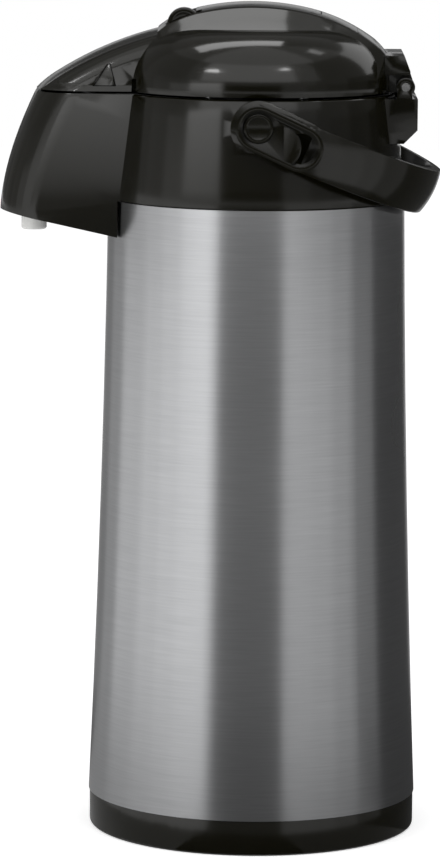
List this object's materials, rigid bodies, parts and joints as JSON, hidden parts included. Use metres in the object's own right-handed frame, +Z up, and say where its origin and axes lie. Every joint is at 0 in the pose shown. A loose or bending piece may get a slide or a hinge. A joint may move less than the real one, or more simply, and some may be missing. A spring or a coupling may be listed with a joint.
{
  "type": "push-button vacuum airpot",
  "caption": "Tall insulated pump flask: press the top plate and the drink leaves through a downward nozzle under the beak; hinged lid, swing handle.",
  "frame": {"origin": "centre of the round base, on the surface it stands on", "axes": "+Z up along the body, -Y towards the spout, +Y towards the hinge, +X to the side seen in the picture"},
  "size_m": [0.159, 0.2111, 0.3998],
  "materials": {
    "black_gloss": "glossy black moulding",
    "black_matt": "satin black moulding",
    "steel_brushed": "satin, brushed round the body",
    "white_plastic": "smooth white moulding",
    "clear_white_plastic": "smooth milky moulding",
    "silvered_glass": "silvered vacuum glass",
    "grey_rubber": "soft moulded rubber",
    "black_rubber": "soft moulded rubber",
    "screw_steel": "plated steel",
    "ball_steel": "bright steel"
  },
  "bodies": {
    "body": {"base_cap": "black_gloss", "body_sleeve": "steel_brushed", "liner_plug": "black_matt", "liner_cushion": "black_rubber", "liner_outer": "silvered_glass", "liner_inner": "silvered_glass", "liner_spacers": "black_rubber", "neck_gasket": "grey_rubber", "collar": "black_gloss", "throat_ring": "black_matt", "throat_screws": "screw_steel", "stem_head": "clear_white_plastic", "siphon_tube": "clear_white_plastic", "pipe_seal": "grey_rubber", "delivery_pipe": "clear_white_plastic", "outlet_nozzle": "white_plastic", "spout_cover": "black_matt", "spout_cover_screws": "screw_steel", "hinge_pin": "ball_steel", "pivot_stud_right": "black_gloss", "pivot_stud_left": "black_gloss"},
    "handle": {"handle": "black_gloss"},
    "lid": {"lid_shell": "black_gloss", "hinge_block": "black_gloss", "bridge_cover": "black_gloss", "lid_base": "black_matt", "lid_gasket": "grey_rubber", "lid_screws": "screw_steel", "outlet_flap": "grey_rubber", "bellows": "grey_rubber", "bellows_spring": "ball_steel", "latch_spring_right": "ball_steel", "latch_spring_left": "ball_steel"},
    "button": {"push_plate": "black_gloss", "pressure_plate": "black_matt", "intake_valve": "grey_rubber"},
    "lock": {"lock_roller": "black_gloss"},
    "latch_right": {"latch_right": "black_gloss"},
    "latch_left": {"latch_left": "black_gloss"},
    "ball": {"check_ball": "ball_steel"}
  },
  "joints": [
    {"name": "handle_pivot", "type": "hinge", "parent": "body", "child": "handle", "pos_m": [0, 0.0007, 0.3449], "axis": [1, 0, 0], "range_deg": [0, 120]},
    {"name": "lid_hinge", "type": "hinge", "parent": "body", "child": "lid", "pos_m": [0, 0.0704, 0.3613], "axis": [-1, 0, 0], "range_deg": [0, 95]},
    {"name": "push_button", "type": "slide", "parent": "lid", "child": "button", "axis": [0, 0, -1], "range_m": [0, 0.016], "stiffness_N_per_m": 900, "springref_m": -0.006, "deforming": ["bellows", "bellows_spring"]},
    {"name": "lock_roll", "type": "hinge", "parent": "lid", "child": "lock", "pos_m": [0, -0.035, 0.3899], "axis": [-1, 0, 0], "range_deg": [-50, 0]},
    {"name": "latch_right", "type": "slide", "parent": "lid", "child": "latch_right", "axis": [-1, 0, 0], "range_m": [0, 0.003], "stiffness_N_per_m": 400, "springref_m": -0.002, "deforming": ["latch_spring_right"]},
    {"name": "latch_left", "type": "slide", "parent": "lid", "child": "latch_left", "axis": [1, 0, 0], "range_m": [0, 0.003], "stiffness_N_per_m": 400, "springref_m": -0.002, "deforming": ["latch_spring_left"]},
    {"name": "check_ball", "type": "slide", "parent": "body", "child": "ball", "axis": [0, 0, 1], "range_m": [0, 0.003]}
  ]
}
